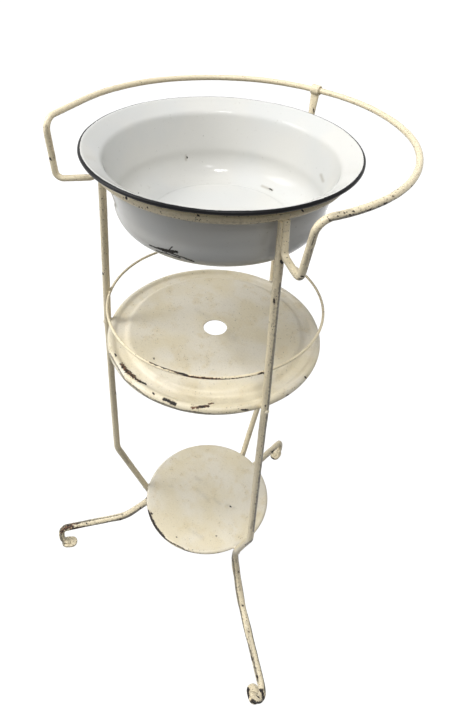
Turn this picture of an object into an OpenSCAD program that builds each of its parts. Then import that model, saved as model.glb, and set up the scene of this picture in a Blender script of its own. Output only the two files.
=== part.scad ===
// Wash basin stand: three bent iron legs carry a ring for an enamelled basin,
// a towel rail, a gallery hoop, a tray and a lower shelf.
// Millimetres, +Z up, the floor at z = 0, the open front towards -Y.

/* [Rod and wire] */
// Diameter of the rod of the legs and the support ring
rod_d = 10; // [8:0.5:12]
// Diameter of the rod of the towel rail and its back stay
rail_d = 8; // [6:0.5:9]
// Diameter of the gallery wire
hoop_d = 3.6; // [3:0.2:5]
// Diameter of the rivets
rivet_d = 4; // [3:0.25:4.5]
// Diameter of the tenon on top of each leg
tenon_d = 5; // [4:0.25:6]

/* [Support ring] */
// Height of the ring to the middle of its rod
ring_z = 813.5; // [760:0.5:860]

/* [Basin] */
// Outer radius of the rolled rim
basin_r = 165; // [150:1:180]
// Overhang of the rim beyond the middle of the ring
rim_overhang = 19; // [16:0.5:26]
// Rise of the flared mouth, in degrees
flare_angle = 35; // [28:1:42]
// Gap from the middle of the ring in to the neck, where the flare turns down into the shoulder
neck_gap = 6; // [6:0.5:8]
// Gap from the middle of the ring in to the wall, below the sloping shoulder
wall_gap = 17.5; // [13:0.5:22]
// Depth of the bowl below the ring's middle
bowl_drop = 82; // [70:1:110]
// How much narrower the base is than the wall
wall_taper = 0.5; // [0:0.5:6]
// Radius of the rounded corner between wall and base
base_corner_r = 31; // [20:1:36]
// Height of the upright wall, between that corner and the sloping shoulder
wall_height = 6; // [6:1:12]
// Bend radius where shoulder meets wall
shoulder_bend_r = 30; // [20:1:36]
// Bend radius where flare meets shoulder
neck_bend_r = 8; // [4:1:8]
// Gap from the wall in to the flat, slightly raised middle of the base
base_panel_gap = 40; // [40:1:60]
// Rise of that middle
base_panel_rise = 1.5; // [1:0.25:3]
// Thickness of the enamelled sheet
basin_sheet = 1.4; // [1:0.1:2]
// Diameter of the rolled rim
basin_bead_d = 6; // [5:0.5:8]

/* [Legs] */
// Radius of the posts at the tray, to the middle of the rod
post_r = 155; // [150:1:165]
// Angle of the front legs from the side, in degrees
front_angle = 30; // [25:1:35]
// Extra turn of the front legs' feet towards the front, in degrees
foot_turn = 8; // [0:1:15]
// Height of the knee, where the post turns inwards
knee_z = 267; // [240:1:300]
// Outward drift of the post between the tray and the knee
knee_out = 2.2; // [0:0.2:6]
// Bend radius of the knee
knee_bend_r = 40; // [20:1:60]
// Height of the waist, below the lower shelf
waist_z = 126; // [110:1:135]
// Inward reach of the waist from the post
waist_in = 56.8; // [50:0.2:60]
// Inward reach of the bend at the start of the foot limb
instep_in = 3; // [0:1:10]
// Height of that bend
instep_z = 70; // [60:1:80]
// Bend radius of the waist
waist_bend_r = 36; // [20:1:40]
// Bend radius at the start of the foot limb
instep_bend_r = 60; // [30:1:80]
// Reach of the foot from the post to the tip of its curl
foot_reach = 119; // [100:1:140]
// Height of the foot limb at the curl
curl_z = 32.4; // [31:0.2:40]
// Bend radius of the curl
curl_r = 14; // [10:1:14]
// Sideways offset of the front feet's curls, as bent by hand
curl_offset = 9; // [0:1:12]

/* [Foot pads] */
// Length of the flattened end under each foot
pad_length = 40; // [30:1:50]
// Width of the flattened end
pad_width = 20; // [16:1:26]
// Thickness of the flattened end
pad_thickness = 6; // [4:0.5:8]

/* [Gallery hoop] */
// Height of the hoop above the tray's rolled edge
hoop_rise = 56.5; // [30:0.5:120]
// Diameter of the brazed spots that hold the hoop
braze_d = 7.5; // [6:0.5:9]

/* [Tray] */
// Height of the tray's rolled edge, to its middle
tray_z = 543.5; // [500:0.5:570]
// Diameter of the tray's rolled edge
tray_bead_d = 12; // [9:0.5:14]
// Thickness of the tray's sheet
tray_sheet = 1.2; // [0.8:0.1:2]
// Radius of the hole in the middle
hole_r = 16.7; // [10:0.1:25]
// Gap from the raised middle to the middle of the rolled edge
margin_gap = 23.5; // [18:0.5:40]
// Rise of the raised middle above the flat margin
plateau_rise = 5.5; // [3:0.5:8]

/* [Lower shelf] */
// Height of the shelf's rolled edge above the waist of the legs
shelf_rise = 34; // [32:1:42]
// Diameter of the shelf's rolled edge
shelf_bead_d = 7; // [6:0.5:9]
// Thickness of the shelf's sheet
shelf_sheet = 1.2; // [0.8:0.1:2]

/* [Towel rail] */
// Bend radius of the rail's long arc
rail_r = 209; // [200:1:225]
// Height of the rail above the ring
rail_rise = 29.5; // [20:0.5:60]
// Sideways shift of the arc, as bent by hand
rail_shift_x = 8; // [0:1:12]
// Backward shift of the arc
rail_shift_y = 14; // [5:1:20]
// Angle in front of the right side at which the long arc ends
right_end_angle = 30; // [24:1:32]
// The same on the left side, where the hand-bent arc ends sooner
left_end_angle = 12.5; // [10:0.5:18]
// Straight run from the end of the arc to the top of the right hairpin
right_run = 18; // [18:1:26]
// The same to the left hairpin
left_run = 78; // [60:1:82]
// Reach of the right hairpin outside its post
right_reach = 36; // [30:1:44]
// The same of the left hairpin
left_reach = 49; // [40:1:52]
// Drop of the hairpins below the ring
hairpin_drop = 48.5; // [35:0.5:75]
// Bend radius of the hairpins
hairpin_bend_r = 9; // [7:0.5:10]
// Bend radius from the hairpin's limb into the run
rail_bend_r = 16; // [8:1:16]
// Inward offset of the rail's ends at the top, where they close on the posts
limb_inset = 3; // [1:0.5:4]

/* [Back stay] */
// Backward offset of the rail from the foot of the stay
stay_offset = 8; // [4:1:12]
// Width of the flattened eye round the rail
eye_width = 13; // [10:0.5:16]
// Thickness of the flattened eye
eye_thickness = 3; // [2:0.25:4]

/* [Hidden] */
$fn = 96;

iron_paint = [0.83, 0.79, 0.68];
enamel = [0.86, 0.87, 0.86];
rod_sides = 16;
rail_sides = 12;
bend_step = 10;
arc_step = 5;

// Fits
seat = 0.5;             // bite of a rod or rolled edge into what it is fixed to
basin_clearance = 0.3;  // gap between the loose basin and the ring
eye_clearance = 0.2;    // gap between the stay's eye and the rail
floor_gap = 0.4;        // the curl stays this much above the underside of its pad

// The long easy bend of the posts at the tray, and the fineness of curved sheet
tray_bend_r = 400;
sheet_step = 6;

// Places that follow from the sizes above
ring_r = basin_r - rim_overhang;
hoop_z = tray_z + hoop_rise;
shelf_z = waist_z + shelf_rise;
rail_z = ring_z + rail_rise;
hairpin_z = ring_z - hairpin_drop;

function spin(v, a) = [v[0] * cos(a) - v[1] * sin(a), v[0] * sin(a) + v[1] * cos(a), v[2]];
function unit(v) = v / norm(v);
function flat(v) = [v[0], v[1], 0];
function outward(v) = unit(flat(v));

// ---- legs as lines: a leg is [angle round the stand, turn of its plane at the post, offset of its curl]

right_leg = [-front_angle, -foot_turn, -curl_offset];
left_leg = [180 + front_angle, foot_turn, curl_offset];
rear_leg = [90, 0, 0];
LEGS = [right_leg, left_leg, rear_leg];

// A point of a leg's own plane (outward from the post, sideways, up) in the stand's frame
function leg_point(leg, p) = spin(spin(p, leg[1]) + [post_r, 0, 0], leg[0]);

// Middle of the upper post, which leans in to the ring, at a height
function post_in_plane(z) = [(ring_r - post_r) * (z - tray_z) / (ring_z - tray_z), 0, z];
function post_point(leg, z) = leg_point(leg, post_in_plane(z));

// Middle of the slanting stretch between knee and waist at a height
function slant_point(leg, z) =
    leg_point(leg, [knee_out - (knee_out + waist_in) * (knee_z - z) / (knee_z - waist_z), 0, z]);

// Foot of the perpendicular from a point to the slanting stretch
function beside_slant(leg, p) =
    let (a = slant_point(leg, waist_z), u = unit(slant_point(leg, knee_z) - a))
    a + u * ((p - a) * u);

// The frame's origin is the middle of the stand's footprint, from the front of the basin or the
// front feet to the back foot, so the stand's own axis lies in front of it.
back_y = leg_point(rear_leg, [foot_reach, 0, 0])[1] + rod_d / 2;
front_feet_y = leg_point(right_leg, [foot_reach, 0, 0])[1] - rod_d / 2;
axis_y = -(back_y + min(front_feet_y, -basin_r)) / 2;

// ---- bent paths: a list of corners, each rounded by a radius, becomes stations [point, direction]

function bend_angle(a, b, c) = acos(max(-1, min(1, unit(b - a) * unit(c - b))));
function bend_tangent(a, b, c, r) = r * tan(bend_angle(a, b, c) / 2);

function bend_stations(a, b, c, r, step) =
    let (
        u = unit(b - a),
        w = unit(c - b),
        angle = bend_angle(a, b, c),
        inward = unit(w - u * (u * w)),
        centre = b - u * bend_tangent(a, b, c, r) + inward * r,
        n = ceil(angle / step)
    )
    [for (k = [0:n])
        let (t = angle * k / n)
        [centre + r * (u * sin(t) - inward * cos(t)), u * cos(t) + inward * sin(t)]];

function path_stations(p, r, step) =
    let (last = len(p) - 1)
    concat(
        [[p[0], unit(p[1] - p[0])]],
        [for (i = [1:last - 1]) each bend_stations(p[i - 1], p[i], p[i + 1], r[i], step)],
        [[p[last], unit(p[last] - p[last - 1])]]
    );

function reversed(s) = [for (i = [len(s) - 1:-1:0]) [s[i][0], -s[i][1]]];

// ---- a rod swept along stations; each station has its own [width, thickness] and a direction for its
// width, which stays level along a leg and is carried round the bends of the rail and the stay

function squared(v, t) = unit(v - t * (v * t));
function level_across(s) = [for (q = s) squared([0, 1, 0], q[1])];
function carried(s, v) =
    [for (i = 0, x = squared(v, s[0][1]); i < len(s); i = i + 1, x = i < len(s) ? squared(x, s[i][1]) : x) x];
function ended_sizes(s, d, tip) = [for (i = [0:len(s) - 1]) i == len(s) - 1 ? tip : [d, d]];

module swept_rod(s, sizes, x, sides) {
    n = len(s);
    points = [for (i = [0:n - 1])
        let (y = cross(x[i], s[i][1]))
        for (k = [0:sides - 1])
            let (a = 360 * k / sides)
            s[i][0] + sizes[i][0] / 2 * cos(a) * x[i] + sizes[i][1] / 2 * sin(a) * y];
    walls = [for (i = [0:n - 2], k = [0:sides - 1])
        let (a = i * sides + k, b = i * sides + (k + 1) % sides)
        [a, b, b + sides, a + sides]];
    start = [for (k = [sides - 1:-1:0]) k];
    end = [for (k = [0:sides - 1]) (n - 1) * sides + k];
    polyhedron(points, concat(walls, [start, end]), convexity = 10);
}

// ---- round bars, rings and sheet metal

// Turns +Z from point a towards point b
module towards(a, b) {
    v = b - a;
    translate(a) rotate([0, acos(v[2] / norm(v)), atan2(v[1], v[0])]) children();
}

module torus(r, z, d) {
    translate([0, 0, z]) rotate_extrude() translate([r, 0]) circle(d = d);
}

// A sheet of revolution whose middle follows corners [radius, height], each rounded
module sheet(corners, bends, thickness, step) {
    s = path_stations([for (q = corners) [q[0], 0, q[1]]], bends, step);
    function side(i, h) = [s[i][0][0] - s[i][1][2] * h, s[i][0][2] + s[i][1][0] * h];
    last = len(s) - 1;
    rotate_extrude()
        polygon(concat(
            [for (i = [0:last]) side(i, thickness / 2)],
            [for (i = [last:-1:0]) side(i, -thickness / 2)]
        ));
}

// A hollow rolled edge
module rolled_edge(r, z, d, thickness) {
    rotate_extrude()
        translate([r, z])
        difference() {
            circle(d = d);
            circle(d = d - 2 * thickness);
        }
}

module on_axis() {
    translate([0, axis_y, 0]) children();
}

// ---- rivets, each from inside a rolled edge out through the rod beside it

head_r = rivet_d * 0.8;
head_h = rivet_d * 0.4;
head_round = (head_r * head_r + head_h * head_h) / (2 * head_h);
peened_end = 0.3;

tray_bead_r = post_r - rod_d / 2 + seat - tray_bead_d / 2;
margin_z = tray_z + tray_bead_d / 6;
plateau_r = tray_bead_r - margin_gap;
tray_rivet_z = margin_z - tray_sheet / 2 - rivet_d / 2 - seat;
slant_lean = atan((knee_out + waist_in) / (knee_z - waist_z));
shelf_bead_r = norm(flat(slant_point(right_leg, shelf_z)))
    - (rod_d / 2 + shelf_bead_d / 2 - seat) / cos(slant_lean);

function tray_rivet_start(leg) = outward(post_point(leg, 0)) * tray_bead_r + [0, 0, tray_rivet_z];
function shelf_rivet_start(leg) = outward(slant_point(leg, shelf_z)) * shelf_bead_r + [0, 0, shelf_z];

module pin(from, through, bead_d) {
    towards(from, through)
        translate([0, 0, -bead_d / 2 - peened_end])
        cylinder(d = rivet_d, h = bead_d / 2 + peened_end + norm(through - from) + rod_d / 2);
}

module head(from, through) {
    towards(from, through)
        translate([0, 0, norm(through - from) + rod_d / 2])
        intersection() {
            translate([0, 0, head_h - head_round]) sphere(r = head_round);
            translate([0, 0, -head_r]) cylinder(r = head_r, h = head_r + head_h);
        }
}

module tray_pin(leg) {
    pin(tray_rivet_start(leg), post_point(leg, tray_rivet_z), tray_bead_d);
}

module shelf_pin(leg) {
    pin(shelf_rivet_start(leg), beside_slant(leg, shelf_rivet_start(leg)), shelf_bead_d);
}

module tray_rivets() {
    color(iron_paint)
        on_axis()
        for (leg = LEGS) {
            tray_pin(leg);
            difference() {
                head(tray_rivet_start(leg), post_point(leg, tray_rivet_z));
                upper_post(leg);
            }
        }
}

module shelf_rivets() {
    color(iron_paint)
        on_axis()
        for (leg = LEGS) {
            shelf_pin(leg);
            difference() {
                head(shelf_rivet_start(leg), beside_slant(leg, shelf_rivet_start(leg)));
                slant(leg);
            }
        }
}

// ---- legs

curl_straight = 1;      // straight rod left between the two bends of the curl
curl_end_z = rod_d / 2 + floor_gap;
curl_end_r = min(curl_r, curl_z - curl_end_z - curl_r - curl_straight);

// Corners of a leg in its own plane, from the ring down the post, in to the waist, out along
// the foot and round the curl, which ends level just above the floor
function leg_corners(offset) = [
    post_in_plane(ring_z - rod_d / 10),
    post_in_plane(tray_z),
    [knee_out, 0, knee_z],
    [-waist_in, 0, waist_z],
    [-instep_in, 0, instep_z],
    [foot_reach, 0, curl_z],
    [foot_reach, offset, curl_end_z],
    [foot_reach - curl_r, offset, curl_end_z]
];
leg_bends = [0, tray_bend_r, knee_bend_r, waist_bend_r, instep_bend_r, curl_r, curl_end_r, 0];

// The flattened end runs into the middle of the pad.
function leg_stations(offset) = concat(
    path_stations(leg_corners(offset), leg_bends, bend_step),
    [[[foot_reach - pad_length / 2, offset, pad_thickness / 2], [-1, 0, 0]]]
);

module in_leg_plane(leg) {
    rotate([0, 0, leg[0]]) translate([post_r, 0, 0]) rotate([0, 0, leg[1]]) children();
}

module leg_rod(leg) {
    s = leg_stations(leg[2]);
    tip = [pad_width * 0.7, pad_thickness - 2 * floor_gap];
    in_leg_plane(leg) swept_rod(s, ended_sizes(s, rod_d, tip), level_across(s), rod_sides);
}

module foot_pad(leg) {
    half = (pad_length - pad_width) / 2;
    in_leg_plane(leg)
        translate([foot_reach - pad_length / 2, leg[2], 0])
        linear_extrude(pad_thickness) {
            for (x = [-half, half]) translate([x, 0]) circle(d = pad_width);
            square([2 * half, pad_width], center = true);
        }
}

// The round of the upper post, for what is fitted against it
module upper_post(leg) {
    towards(post_point(leg, tray_z - rod_d * 2), post_point(leg, ring_z))
        cylinder(d = rod_d, h = ring_z - tray_z + rod_d * 2);
}

// The round of the slanting stretch between knee and waist
module slant(leg) {
    towards(slant_point(leg, waist_z), slant_point(leg, knee_z)) cylinder(d = rod_d, h = knee_z - waist_z);
}

// The tenon and its hole run along the leaning post.
module tenon(leg, below, above) {
    towards(post_point(leg, ring_z - below), post_point(leg, ring_z))
        cylinder(d = tenon_d, h = below + above);
}

module leg(which) {
    color(iron_paint)
        on_axis() {
            difference() {
                union() {
                    leg_rod(which);
                    foot_pad(which);
                }
                torus(ring_r, ring_z, rod_d);
                torus(tray_bead_r, tray_z, tray_bead_d);
                torus(shelf_bead_r, shelf_z, shelf_bead_d);
                tray_pin(which);
                shelf_pin(which);
            }
            tenon(which, rod_d * 0.8, rod_d * 0.42);
        }
}

module front_right_leg() { leg(right_leg); }
module front_left_leg() { leg(left_leg); }
module back_leg() { leg(rear_leg); }

// ---- support ring

module support_ring() {
    color(iron_paint)
        on_axis()
        difference() {
            torus(ring_r, ring_z, rod_d);
            for (leg = LEGS) tenon(leg, rod_d, rod_d);
        }
}

// ---- basin

basin_bead_r = basin_r - basin_bead_d / 2;
rim_coat = 0.2;         // extra thickness of the enamel round the rolled rim
neck_r = ring_r - neck_gap;
wall_r = ring_r - wall_gap;
base_r = wall_r - wall_taper;
base_panel_r = base_r - base_panel_gap;
flare_offset = rod_d / 2 + basin_clearance + basin_sheet / 2;
flare_touch = [ring_r - flare_offset * sin(flare_angle), ring_z + flare_offset * cos(flare_angle)];
function flare_point(r) = [r, flare_touch[1] + (r - flare_touch[0]) * tan(flare_angle)];
roll_r = basin_bead_d / 2 - rim_coat / 2 - basin_sheet / 2;
flare_end = flare_point(basin_bead_r - roll_r * sin(flare_angle));
basin_bead_z = flare_end[1] - roll_r * cos(flare_angle);
base_z = ring_z - bowl_drop;
panel_bend_r = 2 * base_panel_rise;

module basin() {
    color(enamel)
        on_axis() {
            sheet(
                [
                    flare_end,
                    flare_point(neck_r),
                    [wall_r, base_z + base_corner_r + wall_height],
                    [base_r, base_z],
                    [base_panel_r + 2 * base_panel_rise, base_z],
                    [base_panel_r, base_z + base_panel_rise],
                    [0, base_z + base_panel_rise]
                ],
                [0, neck_bend_r, shoulder_bend_r, base_corner_r, panel_bend_r, panel_bend_r, 0],
                basin_sheet,
                sheet_step
            );
            rolled_edge(basin_bead_r, basin_bead_z, basin_bead_d, basin_sheet + rim_coat);
        }
}

// ---- gallery hoop, brazed to the inner side of each post

hoop_r = norm(flat(post_point(rear_leg, hoop_z))) - rod_d / 2 - hoop_d / 2 + seat;

module gallery_hoop() {
    color(iron_paint)
        on_axis()
        difference() {
            union() {
                torus(hoop_r, hoop_z, hoop_d);
                for (leg = LEGS) brazed_spot(outward(post_point(leg, 0)));
            }
            for (leg = LEGS) upper_post(leg);
        }
}

module brazed_spot(out) {
    towards(out * hoop_r + [0, 0, hoop_z], out * post_r + [0, 0, hoop_z]) sphere(d = braze_d);
}

// ---- tray

module tray() {
    color(iron_paint)
        on_axis()
        difference() {
            union() {
                sheet(
                    [
                        [hole_r, margin_z + plateau_rise],
                        [plateau_r, margin_z + plateau_rise],
                        [plateau_r + plateau_rise, margin_z],
                        [tray_bead_r - tray_bead_d / 2 + tray_sheet, margin_z]
                    ],
                    [0, plateau_rise, plateau_rise, 0],
                    tray_sheet,
                    sheet_step
                );
                rolled_edge(tray_bead_r, tray_z, tray_bead_d, tray_sheet);
            }
            for (leg = LEGS) tray_pin(leg);
        }
}

// ---- lower shelf

shelf_top_z = shelf_z + shelf_bead_d / 2 - shelf_sheet / 2;

module lower_shelf() {
    color(iron_paint)
        on_axis()
        difference() {
            union() {
                translate([0, 0, shelf_top_z - shelf_sheet])
                    cylinder(r = shelf_bead_r - shelf_bead_d / 4, h = shelf_sheet);
                rolled_edge(shelf_bead_r, shelf_z, shelf_bead_d, shelf_sheet);
            }
            for (leg = LEGS) shelf_pin(leg);
        }
}

// ---- towel rail, welded down the outer side of each front post and under the ring

limb_out = rod_d / 2 + rail_d / 2 - seat;
limb_top_z = ring_z - rod_d / 4;
limb_bottom_z = hairpin_z + rail_d * 0.75;

function limb_point(leg, z, out) = post_point(leg, z) + outward(post_point(leg, z)) * out;

// Corners of one hairpin, from the ring down the post, out and up
function hairpin_corners(leg, low, top) = [
    limb_point(leg, limb_top_z, limb_out - limb_inset),
    limb_point(leg, limb_bottom_z, limb_out),
    low,
    top
];
hairpin_bends = [0, hairpin_bend_r, hairpin_bend_r];

arc_centre = [rail_shift_x, rail_shift_y, rail_z];
function arc_point(a) = arc_centre + rail_r * [cos(a), sin(a), 0];
function arc_direction(a) = [-sin(a), cos(a), 0];

// Stations from a front post to the end of the long arc
function rail_end_stations(leg, reach, a, forward, run) =
    let (
        start = arc_point(a),
        low = spin([post_r + reach, 0, hairpin_z], leg[0]),
        corners = hairpin_corners(leg, low, start - forward * run)
    )
    path_stations(concat(corners, [start]), concat(hairpin_bends, [rail_bend_r, 0]), bend_step);

function rail_stations() =
    let (
        a = -right_end_angle,
        b = 180 + left_end_angle,
        n = ceil((b - a) / arc_step)
    )
    concat(
        rail_end_stations(right_leg, right_reach, a, arc_direction(a), right_run),
        [for (k = [1:n - 1]) let (t = a + (b - a) * k / n) [arc_point(t), arc_direction(t)]],
        reversed(rail_end_stations(left_leg, left_reach, b, -arc_direction(b), left_run))
    );

module towel_rail() {
    s = rail_stations();
    sizes = ended_sizes(s, rail_d, [rail_d, rail_d]);
    color(iron_paint)
        on_axis()
        difference() {
            swept_rod(s, sizes, carried(s, [1, 0, 0]), rail_sides);
            torus(ring_r, ring_z, rod_d);
            upper_post(right_leg);
            upper_post(left_leg);
        }
}

// ---- back stay, with an eye round the rail

rail_back_y = rail_shift_y + sqrt(rail_r * rail_r - rail_shift_x * rail_shift_x);
eye_r = rail_d / 2 + eye_clearance;

module across_eye(r, width) {
    translate([-width / 2, rail_back_y, rail_z]) rotate([0, 90, 0]) cylinder(r = r, h = width);
}

module rail_back_stay() {
    tip = [0, rail_back_y - eye_r / 2, rail_z - eye_r - eye_thickness / 2];
    corners = hairpin_corners(rear_leg, [0, tip[1] - stay_offset, hairpin_z], tip);
    s = path_stations(corners, concat(hairpin_bends, [0]), bend_step);
    sizes = ended_sizes(s, rail_d, [eye_width, eye_thickness]);
    color(iron_paint)
        on_axis()
        difference() {
            union() {
                swept_rod(s, sizes, carried(s, [1, 0, 0]), rail_sides);
                across_eye(eye_r + eye_thickness, eye_width);
            }
            across_eye(eye_r, eye_width * 2);
            torus(ring_r, ring_z, rod_d);
            upper_post(rear_leg);
        }
}

basin();
support_ring();
front_right_leg();
front_left_leg();
back_leg();
towel_rail();
rail_back_stay();
gallery_hoop();
tray();
tray_rivets();
lower_shelf();
shelf_rivets();
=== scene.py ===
"""Looks of the iron wash basin stand.

Bent iron rod, pressed sheet and an enamelled basin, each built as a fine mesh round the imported
model. Lengths are in millimetres in the stand's own frame (its axis at x = y = 0, the floor at
z = 0, the open front towards -Y) until a mesh is made; only meshes are in metres.
"""

import math

import bpy
import numpy as np
from mathutils import Matrix, Vector


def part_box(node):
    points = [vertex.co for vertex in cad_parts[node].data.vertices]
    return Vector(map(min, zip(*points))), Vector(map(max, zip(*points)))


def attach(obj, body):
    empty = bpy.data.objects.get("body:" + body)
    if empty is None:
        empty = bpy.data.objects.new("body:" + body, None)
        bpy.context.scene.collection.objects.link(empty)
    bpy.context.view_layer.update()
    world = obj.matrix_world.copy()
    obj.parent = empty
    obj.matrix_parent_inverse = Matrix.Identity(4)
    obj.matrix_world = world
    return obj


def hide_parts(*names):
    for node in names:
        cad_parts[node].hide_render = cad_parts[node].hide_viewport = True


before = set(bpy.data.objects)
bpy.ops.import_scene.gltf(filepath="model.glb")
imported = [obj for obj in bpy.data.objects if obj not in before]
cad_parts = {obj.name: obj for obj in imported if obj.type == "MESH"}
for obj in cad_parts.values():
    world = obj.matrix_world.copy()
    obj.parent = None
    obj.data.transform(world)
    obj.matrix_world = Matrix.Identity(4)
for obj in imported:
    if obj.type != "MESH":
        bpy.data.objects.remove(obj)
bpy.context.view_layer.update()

MM = 0.001
UP = (0, 0, 1)
STAND = "stand"
BASIN = "basin"


# ---- sizes, from the frame where a node's box gives them


def box_mm(node):
    low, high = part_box(node)
    return np.array(low) / MM, np.array(high) / MM


ring_low, ring_high = box_mm("support_ring")
tray_low, tray_high = box_mm("tray")
shelf_low, shelf_high = box_mm("lower_shelf")
hoop_low, hoop_high = box_mm("gallery_hoop")
basin_low, basin_high = box_mm("basin")

AXIS_Y = (basin_low[1] + basin_high[1]) / 2  # the stand's axis in the frame
ROD_D = ring_high[2] - ring_low[2]  # rod of the legs and the ring
RING_Z = (ring_low[2] + ring_high[2]) / 2
RING_R = (ring_high[0] - ring_low[0] - ROD_D) / 2
SEAT = 0.5  # depth to which one rod is let into another
RAIL_D = 8.0

TRAY_R = (tray_high[0] - tray_low[0]) / 2
TRAY_BEAD_D = 12.0  # "bead" is a rolled edge
TRAY_Z = tray_low[2] + TRAY_BEAD_D / 2
TRAY_MARGIN_Z = TRAY_Z + TRAY_BEAD_D / 6  # flat margin inside the bead
TRAY_SHEET = 1.2
TRAY_CURL = (150, -190)  # start and end of a rolled edge, in degrees round its bead
HOLE_R = 16.7
MARGIN_GAP = 23.5  # from the bead's middle in to the raised plateau
MARGIN_END_GAP = 6.6  # from the bead's middle in to the margin's end
PLATEAU_RISE = 5.5
TRAY_BENDS = (0, PLATEAU_RISE, PLATEAU_RISE, 0)
POST_R = TRAY_R + ROD_D / 2 - SEAT  # posts at the tray's height

HOOP_D = 3.6
HOOP_Z = (hoop_low[2] + hoop_high[2]) / 2

SHELF_R = (shelf_high[0] - shelf_low[0]) / 2
SHELF_BEAD_D = shelf_high[2] - shelf_low[2]
SHELF_Z = (shelf_low[2] + shelf_high[2]) / 2
SHELF_SHEET = 1.2
SHELF_CURL = (90, -200)
AXIS_HOLE_R = 0.4  # a mesh that closes on the axis stops this short of it

BASIN_R = (basin_high[0] - basin_low[0]) / 2
BASIN_BEAD_D = 6.0
BASIN_SHEET = 1.4
BASIN_GAP = 0.3  # between the flare and the ring
FLARE_ANGLE = 35
NECK_R = RING_R - 6  # the flare turns down here into the shoulder
WALL_R = RING_R - 17.5
WALL_HEIGHT = 6
BASE_R = WALL_R - 0.5
BASE_CORNER_R = 31
BASIN_BENDS = (0, 3, 3, BASE_CORNER_R, 30, 8, 0)
BASIN_CURL = (90 + FLARE_ANGLE, -160)
PANEL_R = BASE_R - 40  # raised middle of the base
PANEL_RISE = 1.5
RIM_START, RIM_FADE = 102, 40  # where the rim's black begins, in degrees round its bead

# Each leg: its angle round the stand, the turn of its plane at the post, the offset of its curl
LEGS = {
    "front_right_leg": (-30, -8, -9),
    "front_left_leg": (210, 8, 9),
    "back_leg": (90, 0, 0),
}
LEG_TOP_Z = RING_Z - ROD_D / 10
KNEE = (2.2, 267)  # bends of a leg, as distance out from the post and height
WAIST = (-56.8, 126)
INSTEP = (-3, 70)
FOOT_REACH = 119.0
CURL_Z = 32.4
CURL_R = 14.0
LEG_BENDS = (0, 400, 40, 36, 60, CURL_R, CURL_R - 2, 3, 0)
FLOOR_GAP = 0.4
CURL_BOTTOM = ROD_D / 2 + FLOOR_GAP + 0.6
PAD_LENGTH, PAD_WIDTH, PAD_THICKNESS = 28.0, 20.0, 6.0
PAD_EDGE_R = 1.6
PAD_DOME = ((0.04, 0), (0.45, 0.1), (0.8, 0.3))  # shares of its outline, and its top's fall there
TIP_WIDTH, TIP_THICKNESS = PAD_WIDTH * 0.8, PAD_THICKNESS - 2 * FLOOR_GAP
FLAT_LENGTH, WIDE_LENGTH = 18, 42  # the rod flattens and widens over these at its tip

# Paint and hammering on a leg: the height of each swelling, and how far it reaches
WELD_SWELL, WELD_SWELL_REACH = 3.2, 3.0
WAIST_SWELL, WAIST_SWELL_REACH = 1.8, 9
LUMP_SWELL, LUMP_SIZE, LUMP_SEED = 0.9, 14, 31
# The foot limb swells from the waist down over 12 mm, and back to the rod over 30 mm, 24 mm from its tip
LIMB_SWELL, LIMB_SWELL_START, LIMB_SWELL_END = 2.2, 12, (24, 30)

RAIL_R, RAIL_Z = 209.0, RING_Z + 29.5
RAIL_SHIFT = (8.0, 14.0)  # middle of the rail's arc from the stand's axis
# For each end of the rail: where its arc ends, the straight run from there, the hairpin's reach
RAIL_ENDS = {
    "front_right_leg": (-30, 18.0, 36.0),
    "front_left_leg": (192.5, 78.0, 49.0),
}
RAIL_BENDS, STAY_BENDS = (0, 9, 9, 16, 0), (0, 9, 9, 0)
HAIRPIN_Z = RING_Z - 48.5
HAIRPIN_TOP_Z, HAIRPIN_BEND_Z = RING_Z - ROD_D / 4, HAIRPIN_Z + RAIL_D * 0.75
LIMB_INSET = 3.0  # the welded limb leans in by this much at its top
LIMB_OUT = ROD_D / 2 + RAIL_D / 2 - SEAT  # limb's middle from the post's middle
WELD_D, WELD_WAVE, WELD_OUT = 3.4, 0.4, 0.5  # filling of the groove between limb and post
EYE_WIDTH, EYE_THICKNESS, EYE_GAP = 13.0, 3.0, 0.2
EYE_FLAT = 0.1  # what its rounded edges leave flat
STAY_OFFSET = 8.0
STAY_FLAT_LENGTH = 40

# Lumps of brazing and paint at the posts: half their width, height and depth, and their shift outwards
BRAZE_LUMP, BRAZE_OUT = (4.2, 3.4, 3.2), 1.4
TRAY_LUMP, TRAY_LUMP_OUT, TRAY_LUMP_RISE = (4.4, 5.4, 3.0), -1.0, 1
SHELF_LUMP, SHELF_LUMP_OUT = (5.0, 3.8, 2.6), -0.6

ROD_STEP = 1.6  # spacing of the rings of vertices along a rod
SHEET_STEP = 1.6  # spacing of vertices round sheet metal
OUTLINE_STEP = 1.2  # spacing of vertices along the outline of sheet metal
ROD_SIDES, RAIL_SIDES, WIRE_SIDES, WELD_SIDES = 24, 20, 14, 12
PAD_SIDES, EYE_SEGMENTS, RAIL_ARC_POINTS = 72, 56, 400

WANDER_LENGTH = 70  # hand-bent rod strays from its path over this length
FOOT_WEAR_HEIGHT = 220  # wear grows from here down to the floor
HANDLED_Y, HANDLED_REACH = -70, 60  # the part of the rail that is handled most


# ---- the photo's camera, which also places the marks that the photo shows

IMAGE = (450, 727)
FOCAL_PX = 582.9
PRINCIPAL_PX = (245.5, 250.7)
CAMERA_HEADING, CAMERA_DOWN, CAMERA_ROLL = 31.875, 32.947, 4.33
CAMERA_PLACE = (364.6, -520.7, 1096.1)


def camera_turn():
    heading, down, roll = (math.radians(a) for a in (CAMERA_HEADING, CAMERA_DOWN, CAMERA_ROLL))
    turn = Matrix.Rotation(heading, 4, "Z") @ Matrix.Rotation(math.pi / 2 - down, 4, "X")
    return turn @ Matrix.Rotation(roll, 4, "Z")


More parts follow.
